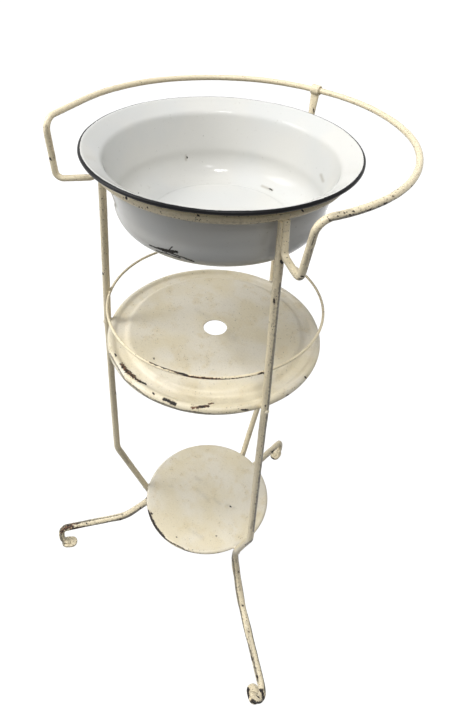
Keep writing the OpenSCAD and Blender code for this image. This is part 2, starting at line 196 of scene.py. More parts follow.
def photo_pixels(points):
    """Where points lie in the photo, and how deep."""
    axes = np.array(camera_turn().to_3x3())
    seen = (points - np.array(CAMERA_PLACE)) @ axes
    scale = FOCAL_PX / -seen[:, 2]
    x, y = PRINCIPAL_PX[0] + seen[:, 0] * scale, PRINCIPAL_PX[1] - seen[:, 1] * scale
    return np.stack([x, y], axis=1), -seen[:, 2]


def pixel_ray(pixel):
    """Direction from the camera through a pixel."""
    x, y = (pixel[0] - PRINCIPAL_PX[0]) / FOCAL_PX, (PRINCIPAL_PX[1] - pixel[1]) / FOCAL_PX
    return np.array(camera_turn().to_3x3()) @ np.array([x, y, -1.0])


def clamp(values):
    return np.clip(values, 0, 1)


def facing(points, normals):
    """1 where a surface faces the photo's camera, falling to 0 where it turns away."""
    ray = np.array(CAMERA_PLACE) - points
    ray /= np.linalg.norm(ray, axis=1)[:, None]
    return clamp(FACING_FADE * (ray * normals).sum(axis=1))


# Marks by node and kind. Each is a line through pixels of the photo (x, y, x, y, ...), and then the
# half-width of its band.
# "chip" is bare iron, "rust" bare rusty iron, the grime kind dirt in the paint and in places painted shade,
# the edge kind painted shade along shaded sides and undersides with some rust, "pitted" an area with more
# pits, and "cracked" an area of enamel that holds some of the CRACKS.
MARKS = {
    "tray": {
        "rust": [
            (122, 365, 127, 371, 134, 377, 1.7), (136, 379, 141, 382, 1.2), (192, 408, 208, 406, 1.2),
            (209, 404, 213, 403, 0.8), (321, 323, 323, 331, 1.1), (327, 330, 330, 329, 0.8),
        ],
        "chip": [
            (139, 381, 146, 384, 0.8), (164, 399, 169, 401, 175, 404, 1.5), (153, 393, 154, 394, 0.7),
            (197, 407, 205, 407, 0.7), (305, 377, 306, 378, 0.7), (288, 396, 293, 398, 1.6),
            (324, 333, 325, 335, 0.8), (115, 354, 116, 356, 0.7), (242, 410, 248, 410, 0.7),
            (132, 376, 133, 377, 0.6), (126, 370, 127, 371, 0.6), (154, 358, 154, 359, 0.5),
        ],
        # the tray's grime is partly painted shade: the basin's shadow, the groove inside the bead and the
        # plateau's step
        "grime_and_shade": [
            (180, 384, 200, 388, 3.5), (197, 310, 209, 318, 2), (150, 372, 190, 396, 250, 402, 2.5),
            (224, 330, 234, 338, 3), (135, 300, 115, 330, 2),
        ],
        # the edge lines here are painted shade under the tray's bead
        "edge": [
            (110, 354, 125, 380, 150, 399, 180, 410, 215, 415, 0.6),
            (215, 415, 250, 413, 290, 399, 318, 377, 0.6),
        ],
    },
    "lower_shelf": {
        "chip": [
            (148, 511, 152, 520, 157, 529, 164, 537, 1.2), (164, 538, 172, 543, 184, 549, 0.5),
            (184, 551, 196, 555, 206, 556, 222, 554, 1.2), (151, 513, 152, 514, 0.7),
            (176, 537, 177, 537, 0.5), (230, 506, 231, 507, 0.5), (216, 536, 217, 536, 0.4),
        ],
        "grime_and_shade": [
            (170, 478, 175, 479, 0.8), (170, 486, 173, 487, 0.8), (196, 478, 206, 484, 1.6),
            (198, 490, 208, 500, 1.8), (214, 499, 220, 504, 1.4), (227, 505, 234, 508, 1.4),
            (190, 530, 202, 538, 1.5),
        ],
    },
    "support_ring": {
        "chip": [
            (126, 197, 127, 199, 0.9), (123, 198, 124, 198, 0.5), (139, 207, 139, 208, 0.6),
            (147, 207, 148, 208, 0.7), (142, 208, 142, 209, 0.4), (198, 215, 199, 216, 0.7),
            (302, 210, 303, 211, 0.8), (279, 214, 280, 215, 0.5), (160, 211, 161, 211, 0.4),
        ],
        # the edge and grime lines here run along the ring's lower side: painted shade there, with some dirt
        "edge": [(112, 201, 125, 209, 150, 219, 175, 224.5, 200, 226, 250, 225, 278, 221, 0.4)],
        "pitted": [(112, 196, 125, 203, 150, 213, 175, 219, 205, 221, 2)],
        "grime_and_shade": [(120, 202, 150, 216, 200, 223, 1.2), (200, 223, 250, 223, 278, 219, 1)],
    },
    "gallery_hoop": {
        "chip": [(179, 373, 186, 375, 1), (260, 375, 265, 374, 2.2), (140, 355, 150, 361, 0.8)],
        # the rust lines here darken the front of the wire along its lower side
        "rust": [(150, 362, 190, 377, 228, 380, 262, 376, 1), (272, 374, 300, 363, 312, 352, 1)],
    },
    "front_right_leg": {
        "chip": [
            (274, 299, 274, 303, 0.7), (268, 411, 268, 412, 0.6), (265, 443, 265, 447, 0.6),
            (238, 571, 239, 572, 0.6), (236, 587, 236, 588, 0.4), (242, 605, 243, 606, 0.8),
            (248, 631, 249, 632, 0.5), (254, 675, 254.5, 676, 0.8), (251, 656, 252, 661, 0.5),
            (260, 690, 261, 691, 0.9), (252, 701, 257, 704, 263, 703, 1.7), (257, 696, 260, 698, 0.6),
            (262, 690, 264, 699, 0.9), (256.5, 676, 257.5, 678, 0.7), (247, 575, 247, 576, 0.4),
            (281, 261, 282, 263, 1.1), (261, 474, 261, 478, 0.9), (248, 688, 248, 698, 1.1),
        ],
        # the edge lines here are painted shade on the shaded right side of the post and along both sides of
        # the lower limb
        "edge": [
            (233, 560, 236.5, 591, 244.5, 634, 252.5, 658, 258, 681, 0.7),
            (238.5, 556, 243.5, 591, 253.5, 638, 260, 663, 264.3, 681, 265, 692, 0.7),
            (280.5, 284, 273.6, 350, 267.6, 415, 263.1, 452, 0.9),
            (263.1, 452, 260.6, 471, 256.9, 502, 253.8, 531, 0.9), (258, 537, 246, 545, 0.9),
            (231, 551, 232, 558, 0.8), (262, 690, 263, 700, 0.8),
        ],
        "rust": [(265.5, 405, 265, 409, 0.5), (261.5, 470, 260, 484, 0.5)],
        "pitted": [(277, 290, 262, 450, 254, 525, 1.5)],
        "grime_and_shade": [
            (275, 290, 269, 420, 1), (267, 420, 264, 470, 1.3), (262, 500, 240, 556, 1.2),
            (236, 560, 240, 590, 252, 650, 258, 680, 0.9), (262, 690, 264, 700, 1),
        ],
    },
    "front_left_leg": {
        "rust": [(61.5, 532, 65, 528, 72, 526, 1.6), (70, 529, 84, 527, 0.8), (72, 524, 78, 523.5, 0.7)],
        "chip": [
            (102, 198, 102, 199, 0.5), (102, 272, 103, 274, 0.7), (116, 392, 117, 396, 0.5),
            (145, 495, 146, 498, 0.9), (140, 508, 142, 509, 0.7), (67, 525, 69, 526, 0.7),
            (70, 531, 76, 530, 0.9), (86, 523, 87, 524, 0.5), (120, 519, 121, 520, 0.6),
        ],
        "grime_and_shade": [
            (112, 300, 116, 440, 1), (120, 450, 148, 490, 1.5), (144, 490, 146, 506, 1.6),
            (140, 512, 110, 522, 70, 530, 1.2), (96, 518, 66, 526, 1.2), (62, 532, 66, 538, 1.4),
        ],
        "edge": [
            (145, 506.5, 125, 518, 112, 521.5, 90, 526.5, 72, 529.8, 0.9),
            (60.5, 530, 61, 538, 64, 545, 0.9), (90, 520.5, 76, 523, 66, 525.5, 0.8),
            (66, 549, 82, 548, 0.8), (112, 452, 122, 462, 142, 489, 0.6),
            (90, 520.5, 112, 516.5, 123, 514, 0.4), (61, 530, 64, 526, 68, 524.8, 1.1),
        ],
        "pitted": [(62, 530, 96, 522, 3), (104, 200, 104, 280, 1.5)],
    },
    "back_leg": {
        "chip": [(272, 452, 274, 451, 0.8), (259, 430, 258, 440, 0.5), (269, 457, 274, 460, 1.2)],
        "grime_and_shade": [(272, 452, 278, 448, 1.4), (268, 458, 276, 462, 1.4)],
    },
    "towel_rail": {
        "chip": [
            (308, 268, 308, 270, 0.7), (301, 276, 304, 277, 0.7), (337, 216, 339, 216, 0.6),
            (344, 213, 345, 213, 0.7), (353, 211, 354, 211, 0.8), (366, 211, 372, 209, 0.5),
            (384, 204, 387, 203, 0.6), (392, 196, 393, 196, 0.8), (412, 186, 412, 187, 0.6),
            (306, 232, 306, 234, 0.4), (50, 158, 51, 160, 0.6), (349, 215, 352, 215, 0.6),
        ],
        # the edge and grime lines along the rail's lower side are painted shade, with some dirt
        "edge": [
            (330, 221, 352.5, 215.5, 377, 208, 397.5, 199.3, 412.5, 188, 0.7), (299, 279, 304, 279, 0.8),
            (309, 268, 313, 240, 320, 228, 0.4),
        ],
        "pitted": [(345, 214, 366, 210, 392, 200, 2), (330, 96, 400, 130, 1)],
        "grime_and_shade": [
            (330, 220, 350, 216, 372, 211, 396, 200, 1.4), (306, 264, 310, 240, 0.9),
            (46, 126, 58, 172, 1.2), (374, 208, 388, 202, 1.8), (330, 215, 350, 210, 1.4),
        ],
    },
    "rail_back_stay": {
        "chip": [(323, 93, 325, 95, 0.9), (313, 108, 314, 112, 0.6)],
    },
    "basin": {
        "chip": [(163, 250, 170, 251, 177, 252, 1.2), (187, 157, 187, 158, 0.5), (138, 193, 139, 193, 0.4)],
        "grime_and_shade": [(321, 175, 323, 181, 1.2), (186, 156, 186, 160, 0.8), (262, 186, 272, 190, 1)],
        "cracked": [(151, 245, 191, 261, 5), (261, 186, 273, 191, 4)],
    },
}

# Thin cracks in the enamel, as the pixels of their two ends and their half-width
CRACKS = [
    ((152, 246), (191, 260.5), 0.45),
    ((158, 248), (168, 250), 0.55),
    ((157, 251), (179, 257.5), 0.30),
    ((166, 253), (172, 247), 0.40),
    ((261, 186), (267, 187.5), 0.35),
    ((267, 187.5), (273, 190.5), 0.45),
]
CRACK_DEPTH = 720  # how far in front of the camera the cracks lie
CRACK_BLUR, CRACK_CORE, CRACK_END = 0.35, 0.15, 0.6  # softness of a crack's sides and ends, in pixels

MARK_DEPTH = 25  # a mark lies only on the nearest surface, to this depth behind its nearest point
EDGE_DEPTH = 300  # painted shade on edges runs along whole rods, and round to their hidden side
FACING_FADE = 4  # how sharply marks end where a surface turns away
PITTED_WEAR = 0.3  # extra wear in a pitted area


def mark_field(pixels, depth, seen, lines, reach):
    """1 on the middle of each line of pixels, 0.5 at its half-width, falling to 0 outside."""
    field = np.zeros(len(pixels))
    for line in lines:
        half_width = line[-1]
        corners = np.reshape(line[:-1], (-1, 2)).astype(float)
        for a, b in zip(corners, corners[1:]):
            along = clamp((pixels - a) @ (b - a) / max(1e-9, (b - a) @ (b - a)))
            distance = np.linalg.norm(pixels - a - along[:, None] * (b - a), axis=1)
            part = clamp(1 - distance / (2 * half_width)) * seen
            if part.any():
                part[depth > depth[part > 0].min() + reach] = 0
            field = np.maximum(field, part)
    return field


# ---- noise


def lattice(ix, iy, iz, seed):
    """A fixed pseudo-random number from 0 to 1 at each lattice point."""
    h = (ix * 374761393 + iy * 668265263 + iz * 2147483647 + seed * 1274126177) & 0xFFFFFFFF
    h = ((h ^ (h >> 13)) * 1103515245) & 0xFFFFFFFF
    h = ((h ^ (h >> 16)) * 2246822519) & 0xFFFFFFFF
    return ((h ^ (h >> 15)) & 0xFFFF) / 65535.0


def noise(points, size, seed=0):
    """Smooth noise from -1 to 1 with features of the given size."""
    q = np.asarray(points) / size
    cell = np.floor(q).astype(np.int64)
    t = q - cell
    t = t * t * (3 - 2 * t)
    total = np.zeros(len(q))
    for corner in np.ndindex(2, 2, 2):
        weight = np.ones(len(q))
        for k in range(3):
            weight *= t[:, k] if corner[k] else 1 - t[:, k]
        total += weight * lattice(*(cell[:, k] + corner[k] for k in range(3)), seed)
    return 2 * total - 1


# ---- paths


def spin(v, degrees):
    a = math.radians(degrees)
    x, y, z = v
    return np.array([x * math.cos(a) - y * math.sin(a), x * math.sin(a) + y * math.cos(a), z])


def unit(v):
    return v / np.linalg.norm(v)


def outward(v):
    return unit(np.array([v[0], v[1], 0.0]))


def respaced(points, spacing):
    points = np.array(points)
    lengths = np.linalg.norm(np.diff(points, axis=0), axis=1)
    points = points[np.concatenate([[True], lengths > 1e-6])]
    along = np.concatenate([[0], np.cumsum(np.linalg.norm(np.diff(points, axis=0), axis=1))])
    wanted = np.linspace(0, along[-1], int(math.ceil(along[-1] / spacing)) + 1)
    return np.stack([np.interp(wanted, along, points[:, k]) for k in range(points.shape[1])], axis=1)


def bent_path(corners, radii, spacing):
    """Points along a line through corners, each rounded by its radius."""
    corners = [np.asarray(c, float) for c in corners]
    points = [corners[0]]
    for a, b, c, r in zip(corners, corners[1:], corners[2:], radii[1:]):
        u, w = unit(b - a), unit(c - b)
        angle = math.acos(max(-1.0, min(1.0, float(u @ w))))
        inward = unit(w - u * (u @ w))
        centre = b - u * r * math.tan(angle / 2) + inward * r
        for t in np.linspace(0, angle, max(2, int(math.ceil(r * angle / spacing)) + 1)):
            points.append(centre + r * (u * math.sin(t) - inward * math.cos(t)))
    points.append(corners[-1])
    return respaced(points, spacing)


def full_turn(count):
    return np.linspace(0, 2 * math.pi, count, endpoint=False)


def circle_path(radius, z):
    count = int(math.ceil(2 * math.pi * radius / ROD_STEP))
    a = full_turn(count)
    return np.stack([radius * np.cos(a), radius * np.sin(a), np.full(count, z)], axis=1)


def arc_points(centre, radius, start, stop, spacing):
    count = max(3, int(abs(math.radians(stop - start)) * radius / spacing) + 1)
    a = np.radians(np.linspace(start, stop, count))
    return np.stack([centre[0] + radius * np.cos(a), centre[1] + radius * np.sin(a)], axis=1)


def eased(points, rounds):
    """A line with its corners softened; its ends stay."""
    for _ in range(rounds):
        points[1:-1] = points[1:-1] / 2 + (points[:-2] + points[2:]) / 4
    return points


def directions(points, closed=False):
    if closed:
        d = np.roll(points, -1, axis=0) - np.roll(points, 1, axis=0)
    else:
        d = np.gradient(points, axis=0)
    return d / np.linalg.norm(d, axis=1)[:, None]


# ---- rings of vertices


def tube(points, width, sides, across, closed=False, thickness=None):
    """Rings of vertices round a rod along points. Width and thickness may change along it."""
    n = len(points)
    d = directions(points, closed)
    width = np.broadcast_to(np.asarray(width, float), (n,)) / 2
    thickness = width if thickness is None else np.broadcast_to(np.asarray(thickness, float), (n,)) / 2
    x = np.zeros((n, 3))
    v = np.asarray(across, float)
    for i in range(n):
        v = unit(v - d[i] * (v @ d[i]))
        x[i] = v
    y = np.cross(d, x)
    a = full_turn(sides)
    rings = np.cos(a)[None, :, None] * x[:, None, :] * width[:, None, None]
    rings = rings + np.sin(a)[None, :, None] * y[:, None, :] * thickness[:, None, None]
    return points[:, None, :] + rings


def lathe(outline):
    """Rings of vertices of a closed [radius, height] outline turned round the axis."""
    segments = int(2 * math.pi * outline[:, 0].max() / SHEET_STEP)
    a = full_turn(segments)
    radius, height = outline[:, 0], outline[:, 1]
    tall = np.broadcast_to(height, (segments, len(height)))
    return np.stack([np.outer(np.cos(a), radius), np.outer(np.sin(a), radius), tall], axis=2)


def both_sides(middle, thickness):
    """Closed outline of a sheet whose middle is a line of [radius, height]."""
    d = directions(middle)
    normal = np.stack([-d[:, 1], d[:, 0]], axis=1) * thickness / 2
    return np.concatenate([middle + normal, (middle - normal)[::-1]])


def dome(centre, axes, rows=14, sides=24):
    """Rings of vertices of an ellipsoid; axes are three vectors, the last along its poles."""
    x, y, z = (np.asarray(v, float) for v in axes)
    rings = []
    for t in np.linspace(-math.pi / 2 + 0.12, math.pi / 2 - 0.12, rows):
        a = full_turn(sides)[:, None]
        rings.append(centre + math.cos(t) * (np.cos(a) * x + np.sin(a) * y) + math.sin(t) * z)
    return np.array(rings)


# ---- meshes

FINE_SIZE, COARSE_SIZE = 5, 28  # sizes of the two unevennesses of a surface
SHEET_AS_ROD = 0.15  # how far sheet metal shares the yellower paint of the rods, with their stronger dirt and painted shade


def ring_faces(n, sides, closed):
    faces = []
    for i in range(n if closed else n - 1):
        j = (i + 1) % n
        for k in range(sides):
            m = (k + 1) % sides
            faces.append((i * sides + k, i * sides + m, j * sides + m, j * sides + k))
    if not closed:
        faces.append(tuple(reversed(range(sides))))
        faces.append(tuple((n - 1) * sides + k for k in range(sides)))
    return faces


def new_object(name, data):
    obj = bpy.data.objects.new(name, data)
    bpy.context.scene.collection.objects.link(obj)
    return obj


def make_mesh(name, rings, closed, material):
    """A smooth object from rings of vertices, which are millimetres in the stand's own frame."""
    n, sides, _ = rings.shape
    mesh = bpy.data.meshes.new(name)
    points = rings.reshape(-1, 3)
    mesh.from_pydata(((points + [0, AXIS_Y, 0]) * MM).tolist(), [], ring_faces(n, sides, closed))
    mesh.update()
    if volume(mesh) < 0:
        mesh.flip_normals()
    mesh.polygons.foreach_set("use_smooth", [True] * len(mesh.polygons))
    obj = new_object(name, mesh)
    mesh.materials.append(material)
    return obj


def volume(mesh):
    return sum(face.center.dot(face.normal) * face.area for face in mesh.polygons)


def read_mesh(mesh):
    points, normals = np.zeros((2, len(mesh.vertices) * 3))
    mesh.vertices.foreach_get("co", points)
    mesh.vertex_normals.foreach_get("vector", normals)
    return points.reshape(-1, 3) / MM - [0, AXIS_Y, 0], normals.reshape(-1, 3)


def roughen(obj, fine, coarse, seed):
    """Moves the surface in and out a little, as thick paint and hand work leave it."""
    points, normals = read_mesh(obj.data)
    depth = fine * noise(points, FINE_SIZE, seed) + coarse * noise(points, COARSE_SIZE, seed + 1)
    points = points + normals * depth[:, None]
    obj.data.vertices.foreach_set("co", ((points + [0, AXIS_Y, 0]) * MM).ravel())
    obj.data.update()


def set_attribute(obj, name, values):
    layer = obj.data.attributes.new(name, "FLOAT", "POINT")
    layer.data.foreach_set("value", np.asarray(values, dtype=np.float32))


def add_marks(obj, node, wear_and_shade):
    """Per-vertex amounts of each kind of mark, and of general wear, which on some pieces holds painted shade
    on undersides.
    """
    points, normals = read_mesh(obj.data)
    pixels, depth = photo_pixels(points)
    seen = facing(points, normals)
    marks = MARKS.get(node, {})
    for kind in ("chip", "rust", "grime_and_shade", "cracked"):
        set_attribute(obj, kind, mark_field(pixels, depth, seen, marks.get(kind, []), MARK_DEPTH))
    everywhere = np.ones(len(points))
    set_attribute(obj, "edge", mark_field(pixels, depth, everywhere, marks.get("edge", []), EDGE_DEPTH))
    wear_and_shade_amount = wear_and_shade(points, normals) if callable(wear_and_shade) else np.full(len(points), wear_and_shade)
    pitted = mark_field(pixels, depth, everywhere, marks.get("pitted", []), EDGE_DEPTH)
    set_attribute(obj, "wear_and_shade", wear_and_shade_amount + PITTED_WEAR * clamp(2 * pitted))


def add_piece(name, rings, closed, node, wear_and_shade=0.3, fine=0.12, coarse=0.15, body=STAND, replaces=True):
    """A finished piece from rings of vertices, which stands for a node or is added to it."""
    obj = make_mesh(name, rings, closed, enamel if body == BASIN else paint)
    roughen(obj, fine, coarse, sum(map(ord, name)))
    add_marks(obj, node, wear_and_shade)
    rod = SHEET_AS_ROD if node in ("tray", "lower_shelf") else 1.0
    set_attribute(obj, "rod", np.full(len(obj.data.vertices), rod))
    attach(obj, body)
    if replaces:
        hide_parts(node)
    return obj


# ---- materials


def connect(tree, value, socket):
    """Feeds a socket from another node, or sets it to a plain value."""
    if isinstance(value, bpy.types.NodeSocket):
        tree.links.new(value, socket)
    else:
        socket.default_value = value


def math_node(tree, operation, a, b):
    node = tree.nodes.new("ShaderNodeMath")
    node.operation = operation
    connect(tree, a, node.inputs[0])
    connect(tree, b, node.inputs[1])
    return node.outputs[0]


class Graph:
    """Shader nodes of one material, built by plain calls."""

    def __init__(self, name):
        self.material = bpy.data.materials.new(name)
        self.material.use_nodes = True
        self.tree = self.material.node_tree
        self.shader = self.tree.nodes["Principled BSDF"]
        self.place = self.tree.nodes.new("ShaderNodeTexCoord").outputs["Object"]

    def link(self, value, socket):
        connect(self.tree, value, socket)

    def put(self, name, value):
        self.link(value, self.shader.inputs[name])

    def math(self, operation, a, b=0.0):
        return math_node(self.tree, operation, a, b)

    def add(self, *values):
        total = values[0]
        for value in values[1:]:
            total = self.math("ADD", total, value)
        return total

    def times(self, a, b):
        return self.math("MULTIPLY", a, b)

    def step(self, value, low, high, bottom=0.0, top=1.0):
        """A smooth rise from bottom to top, as the value goes from low to high."""
        node = self.tree.nodes.new("ShaderNodeMapRange")
        node.interpolation_type = "SMOOTHSTEP"
        for socket, v in zip(node.inputs, (value, low, high, bottom, top)):
            self.link(v, socket)
        return node.outputs[0]

    def texture(self, kind, size_mm):
        node = self.tree.nodes.new("ShaderNodeTex" + kind)
        node.inputs["Scale"].default_value = 1000 / size_mm
        self.link(self.place, node.inputs["Vector"])
        return node

    def noise(self, size_mm, detail):
        node = self.texture("Noise", size_mm)
        node.inputs["Detail"].default_value = detail
        return node.outputs["Fac"]

    def swing(self, value, size):
        """A noise turned to run about zero, and scaled."""
        return self.times(self.add(value, -0.5), size)

    def spots(self, size_mm):
        """Distance from scattered points, in cells of the given size."""
        return self.texture("Voronoi", size_mm).outputs["Distance"]

    def attribute(self, name):
        node = self.tree.nodes.new("ShaderNodeAttribute")
        node.attribute_name = name
        return node.outputs["Fac"]

    def mix(self, factor, a, b):
        node = self.tree.nodes.new("ShaderNodeMix")
        node.data_type = "RGBA"
        self.link(factor, node.inputs[0])
        self.link(a if isinstance(a, bpy.types.NodeSocket) else (*a, 1), node.inputs[6])
        self.link(b if isinstance(b, bpy.types.NodeSocket) else (*b, 1), node.inputs[7])
        return node.outputs[2]

    def plane(self, normal, through):
        """Distance from a plane, in the units of its normal."""
        node = self.tree.nodes.new("ShaderNodeVectorMath")
        node.operation = "DOT_PRODUCT"
        self.link(self.place, node.inputs[0])
        node.inputs[1].default_value = normal
        return self.add(node.outputs["Value"], -float(np.dot(normal, through)))

    def crack(self, a, b, half_width, wobble):
        """1 along a thin line between two pixels of the photo."""
        eye = (np.array(CAMERA_PLACE) + [0, AXIS_Y, 0]) * MM
        across = unit(np.cross(pixel_ray(a), pixel_ray(b)))
        along = unit(np.cross(across, pixel_ray(a) + pixel_ray(b)))
        scale = FOCAL_PX / (CRACK_DEPTH * MM)
        half_length = math.dist(a, b) / 2
        beside = self.math("ABSOLUTE", self.add(self.plane(across * scale, eye), wobble))
        beyond = self.math("ABSOLUTE", self.plane(along * scale, eye))
        on_line = self.step(beside, half_width + CRACK_BLUR, half_width - CRACK_CORE)
        return self.times(on_line, self.step(beyond, half_length + CRACK_END, half_length - CRACK_END))

    def bump(self, height, distance_mm):
        node = self.tree.nodes.new("ShaderNodeBump")
        node.inputs["Distance"].default_value = distance_mm * MM
        self.link(height, node.inputs["Height"])
        self.put("Normal", node.outputs[0])


CREAM = (0.715, 0.64, 0.47)
ROD_CREAM = (0.78, 0.68, 0.475)
CREAM_PALE = (0.76, 0.71, 0.60)
CREAM_YELLOW = (0.66, 0.56, 0.36)
# colour of dirt, also used for painted shade
DIRT_AND_SHADE = (0.25, 0.21, 0.145)
# colour of the painted shade along shaded edges
PAINTED_EDGE_SHADE = (0.10, 0.085, 0.055)
RUST = (0.16, 0.075, 0.035)
BARE_IRON = (0.011, 0.009, 0.007)
ENAMEL_WHITE = (0.63, 0.622, 0.588)
ENAMEL_COOL = (0.605, 0.607, 0.588)
RIM_BLACK = (0.002, 0.002, 0.003)
ENAMEL_SPECULAR = 0.15
PAINT_RELIEF, ENAMEL_RELIEF = 0.35, 0.25


def paint_material():
    """Old cream paint: patchy and dirty, pitted by chance, and chipped where the photo shows it."""
    g = Graph("cream_paint")
    names = ("wear_and_shade", "chip", "rust", "grime_and_shade", "edge", "rod")
    wear_and_shade, chip, rust, grime_and_shade, edge, rod = (g.attribute(name) for name in names)
    broad, middle, small, grain = g.noise(70, 3), g.noise(16, 3), g.noise(3.2, 2), g.noise(1.1, 1)
    ragged = g.add(g.swing(small, 1.3), g.swing(grain, 0.8))

    # the paint's creams, from broad patches down to its grain
    colour = g.mix(g.step(broad, 0.38, 0.62), CREAM, CREAM_PALE)
    colour = g.mix(g.times(g.step(middle, 0.5, 0.72), 0.55), colour, CREAM_YELLOW)
    colour = g.mix(g.times(rod, g.step(small, 0.2, 0.5, 0.75, 1.0)), colour, ROD_CREAM)
    colour = g.mix(g.times(g.step(grain, 0.52, 0.75), 0.18), colour, DIRT_AND_SHADE)

    # dirt, partly painted shade, in grimy and worn places and on undersides, and painted shade along shaded
    # edges
    grime_and_shade_amount = g.times(grime_and_shade, g.step(g.add(middle, g.times(small, 0.7)), 0.55, 0.9))
    dirt_and_shade_amount = g.add(grime_and_shade_amount, g.times(wear_and_shade, g.step(small, 0.5, 0.75)))
    colour = g.mix(g.times(dirt_and_shade_amount, g.step(rod, 0.0, 1.0, 0.16, 0.62)), colour, DIRT_AND_SHADE)
    # painted shade along shaded edges, with spots of bare iron
    edge_shade = g.step(g.add(edge, g.times(ragged, 0.6)), 0.24, 0.46)
    colour = g.mix(g.times(edge_shade, 0.75), colour, g.mix(g.step(small, 0.4, 0.6), PAINTED_EDGE_SHADE, BARE_IRON))

    # a rusty stain round the chips, then rust, pits and bare iron
    stain = g.step(g.add(chip, g.times(ragged, 0.6)), 0.16, 0.40)
    colour = g.mix(g.times(stain, 0.3), colour, RUST)
    rusted = g.step(g.add(rust, g.times(ragged, 1.1)), 0.36, 0.55)
    colour = g.mix(rusted, colour, g.mix(g.step(small, 0.4, 0.62), RUST, BARE_IRON))
    pitting = g.add(g.times(g.spots(3.0), 1.9), g.times(wear_and_shade, -0.55), g.swing(middle, -0.9))
    pits = g.step(pitting, 0.10, 0.02)
    colour = g.mix(g.times(pits, 0.85), colour, g.mix(g.step(small, 0.3, 0.5), RUST, BARE_IRON))
    bare = g.step(g.add(chip, g.times(ragged, 0.75)), 0.42, 0.52)
    colour = g.mix(bare, colour, g.mix(g.step(grain, 0.6, 0.85), BARE_IRON, RUST))
    g.put("Base Color", colour)

    # bare places are rougher, and hollow against the paint
    hollow = g.math("MAXIMUM", g.math("MAXIMUM", bare, pits), g.times(rusted, 0.7))
    roughness = g.step(g.add(hollow, g.swing(small, 0.6)), -0.3, 1.0, 0.34, 0.80)
    g.put("Roughness", roughness)
    relief = g.add(g.times(hollow, -1.0), g.times(small, 0.9), g.times(grain, 0.35), g.times(middle, 0.9))
    g.bump(relief, PAINT_RELIEF)
    return g.material


def enamel_material():
    """Glossy white enamel with a black rim, chipped and cracked where the photo shows it."""
    g = Graph("white_enamel")
    chip, rim, grime_and_shade, cracked = (g.attribute(name) for name in ("chip", "rim", "grime_and_shade", "cracked"))
    broad, middle, small, grain = g.noise(90, 2), g.noise(20, 2), g.noise(5, 2), g.noise(1.4, 1)

    colour = g.mix(g.step(broad, 0.4, 0.6), ENAMEL_WHITE, ENAMEL_COOL)
    colour = g.mix(g.times(g.step(small, 0.66, 0.74), 0.10), colour, DIRT_AND_SHADE)
    colour = g.mix(g.times(grime_and_shade, 0.5), colour, DIRT_AND_SHADE)
    ragged = g.add(g.swing(middle, 0.7), g.swing(small, 0.6), g.swing(grain, 0.3))
    black = g.step(g.add(rim, g.times(ragged, 0.55)), 0.45, 0.53)
    colour = g.mix(black, colour, RIM_BLACK)

    chipped = g.step(g.add(chip, g.swing(grain, 1.0), g.swing(small, 0.9)), 0.40, 0.48)
    wobble = g.add(g.swing(small, 1.6), g.swing(grain, 1.0))
    cracks = 0.0
    for a, b, half_width in CRACKS:
        cracks = g.math("MAXIMUM", cracks, g.crack(a, b, half_width, wobble))
    bare = g.math("MAXIMUM", chipped, g.times(cracks, g.step(cracked, 0.1, 0.3)))
    colour = g.mix(bare, colour, BARE_IRON)
    g.put("Base Color", colour)

    dull = g.math("MAXIMUM", bare, g.times(black, 0.5))
    g.put("Roughness", g.step(dull, 0.0, 1.0, 0.09, 0.6))
    g.put("Specular IOR Level", ENAMEL_SPECULAR)
    relief = g.add(g.times(bare, -1.0), g.times(broad, 2.0), g.times(middle, 0.35), g.times(grain, 0.02))
    g.bump(relief, ENAMEL_RELIEF)
    return g.material


paint = paint_material()
enamel = enamel_material()


# ---- legs


def leg_point(leg, p):
    angle, turn, _ = leg
    return spin(spin(p, turn) + np.array([POST_R, 0, 0]), angle)


def post_in_plane(z):
    return ((RING_R - POST_R) * (z - TRAY_Z) / (RING_Z - TRAY_Z), 0, z)


def post_point(leg, z):
    return leg_point(leg, post_in_plane(z))


def slant_point(leg, z):
    share = (KNEE[1] - z) / (KNEE[1] - WAIST[1])
    return leg_point(leg, (KNEE[0] + (WAIST[0] - KNEE[0]) * share, 0, z))


def leg_path(leg):
    offset = leg[2]
    corners = [
        post_in_plane(LEG_TOP_Z),
        post_in_plane(TRAY_Z),
        (KNEE[0], 0, KNEE[1]),
        (WAIST[0], 0, WAIST[1]),
        (INSTEP[0], 0, INSTEP[1]),
        (FOOT_REACH, 0, CURL_Z),
        (FOOT_REACH, offset, CURL_BOTTOM),
        (FOOT_REACH - CURL_R, offset, CURL_BOTTOM),
        (FOOT_REACH - PAD_LENGTH / 2, offset, PAD_THICKNESS / 2),
    ]
    return bent_path([leg_point(leg, c) for c in corners], LEG_BENDS, ROD_STEP)


def wander(points, size, seed):
    """Bends a path by up to a few tenths of a millimetre, as rod bent by hand is."""
    return points + np.stack([noise(points, WANDER_LENGTH, seed + k) for k in range(3)], axis=1) * size


def underside_shade_and_low_wear(points, normals):
    """Painted shade on undersides, as more dirt colour and pits there, and more wear near the floor."""
    low = clamp(1 - points[:, 2] / FOOT_WEAR_HEIGHT)
    under = clamp(-normals[:, 2])
    return clamp(0.24 + 0.35 * under + 0.3 * low)


